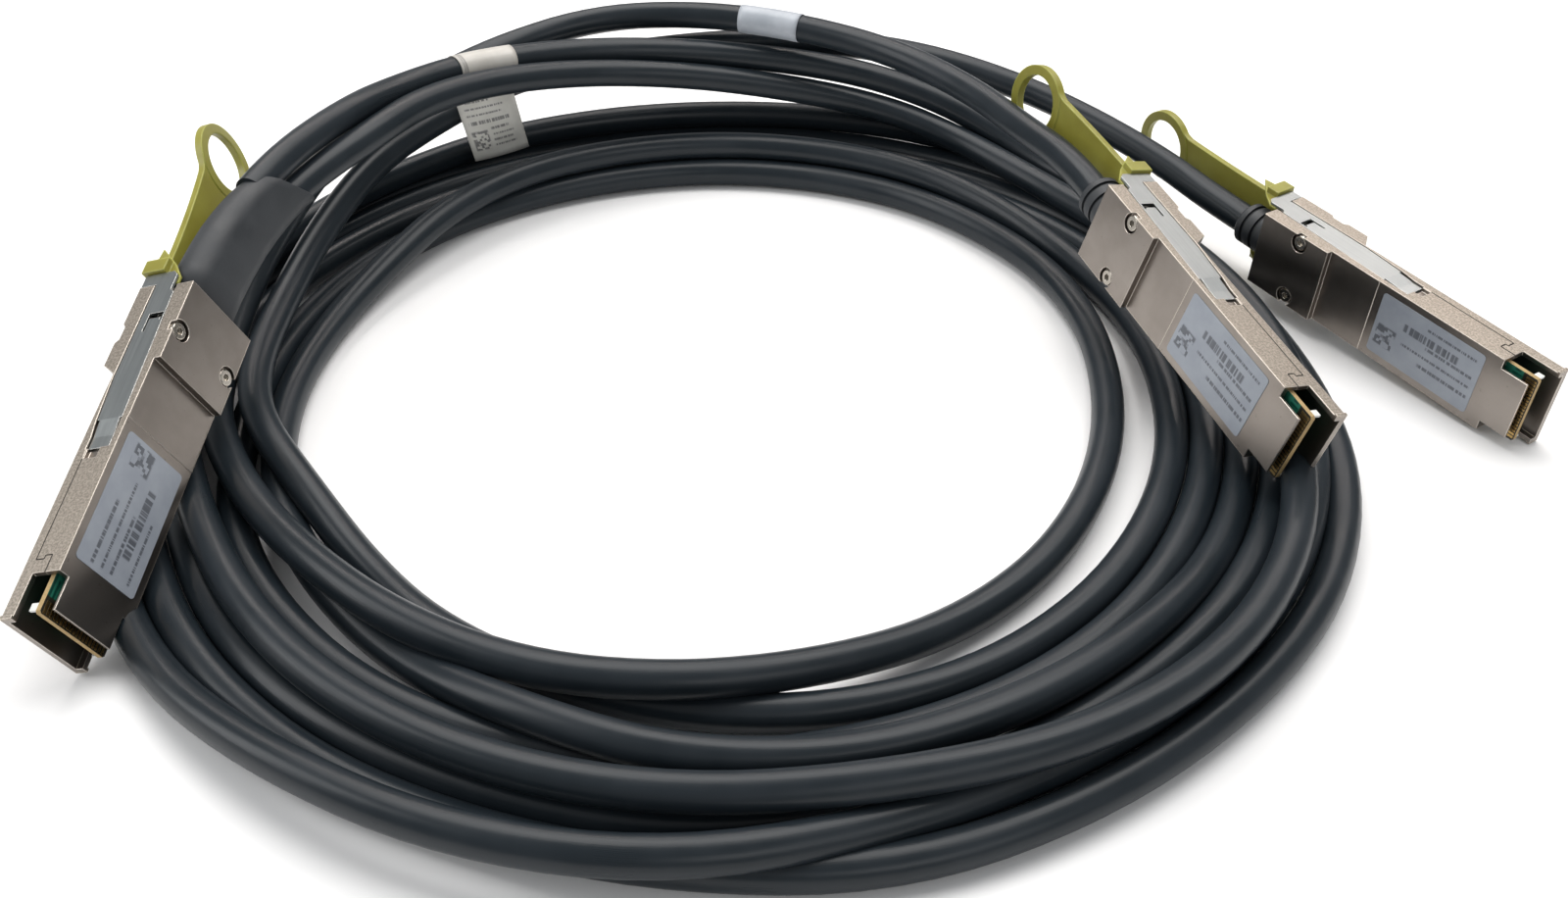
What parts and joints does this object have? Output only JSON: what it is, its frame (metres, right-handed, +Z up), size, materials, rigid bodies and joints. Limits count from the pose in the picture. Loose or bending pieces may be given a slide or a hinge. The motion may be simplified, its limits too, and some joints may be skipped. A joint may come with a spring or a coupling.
{
  "type": "direct attach copper cable",
  "caption": "Coiled breakout copper cable: a trunk plug feeds two round black cables, each ending in its own die-cast plug with a sprung latch and a pull tab.",
  "frame": {"origin": "on the surface it lies on, below the middle of the box round the three plugs", "axes": "+Z up; +X along the longest side of the box round the three plugs, from the trunk plug to the branch plugs; +Y away from the plug noses"},
  "size_m": [0.307, 0.265, 0.0506],
  "materials": {
    "shell": "nickel-plated die casting, fine satin grain",
    "screw": "bright steel",
    "card": "green solder mask",
    "gold": "gold plated",
    "chip": "black moulded package",
    "white_plastic": "white plastic",
    "pair": "screened pair in foil and film",
    "crimp": "plated ferrule",
    "steel_sheet": "stainless sheet",
    "spring": "spring steel",
    "pull_tab": "yellow-green moulded plastic",
    "grip": "black moulded grip",
    "cable": "slate-black PVC jacket, semi-matte",
    "label": "pale printed label"
  },
  "bodies": {
    "cable_set": {"trunk_bottom_shell": "shell", "trunk_top_shell": "shell", "trunk_shell_screws": "screw", "trunk_paddle_card": "card", "trunk_edge_contacts": "gold", "trunk_memory_chip": "chip", "trunk_card_posts": "white_plastic", "trunk_wire_pairs": "pair", "trunk_cable_crimp": "crimp", "trunk_return_springs": "spring", "trunk_cable_grip": "grip", "trunk_rating_label": "label", "branch1_bottom_shell": "shell", "branch1_top_shell": "shell", "branch1_shell_screws": "screw", "branch1_paddle_card": "card", "branch1_edge_contacts": "gold", "branch1_memory_chip": "chip", "branch1_card_posts": "white_plastic", "branch1_wire_pairs": "pair", "branch1_cable_crimp": "crimp", "branch1_return_springs": "spring", "branch1_cable_grip": "grip", "branch1_rating_label": "label", "branch2_bottom_shell": "shell", "branch2_top_shell": "shell", "branch2_shell_screws": "screw", "branch2_paddle_card": "card", "branch2_edge_contacts": "gold", "branch2_memory_chip": "chip", "branch2_card_posts": "white_plastic", "branch2_wire_pairs": "pair", "branch2_cable_crimp": "crimp", "branch2_return_springs": "spring", "branch2_cable_grip": "grip", "branch2_rating_label": "label", "trunk_lead_1": "cable", "trunk_lead_2": "cable", "branch1_lead": "cable", "branch2_lead": "cable", "coil": "cable", "flag_label": "label", "wrap_label": "label"},
    "trunk_latch": {"trunk_latch_slider": "steel_sheet", "trunk_pull_tab": "pull_tab"},
    "branch1_latch": {"branch1_latch_slider": "steel_sheet", "branch1_pull_tab": "pull_tab"},
    "branch2_latch": {"branch2_latch_slider": "steel_sheet", "branch2_pull_tab": "pull_tab"}
  },
  "joints": [
    {"name": "trunk_latch_slide", "type": "slide", "parent": "cable_set", "child": "trunk_latch", "axis": [0.1033, 0.9507, 0.2924], "range_m": [0, 0.0025], "stiffness_N_per_m": 900, "springref_m": -0.001, "deforming": ["trunk_return_springs"]},
    {"name": "branch1_latch_slide", "type": "slide", "parent": "cable_set", "child": "branch1_latch", "axis": [-0.3561, 0.9182, 0.1736], "range_m": [0, 0.0025], "stiffness_N_per_m": 900, "springref_m": -0.001, "deforming": ["branch1_return_springs"]},
    {"name": "branch2_latch_slide", "type": "slide", "parent": "cable_set", "child": "branch2_latch", "axis": [-0.5403, 0.8384, 0.0715], "range_m": [0, 0.0025], "stiffness_N_per_m": 900, "springref_m": -0.001, "deforming": ["branch2_return_springs"]}
  ]
}
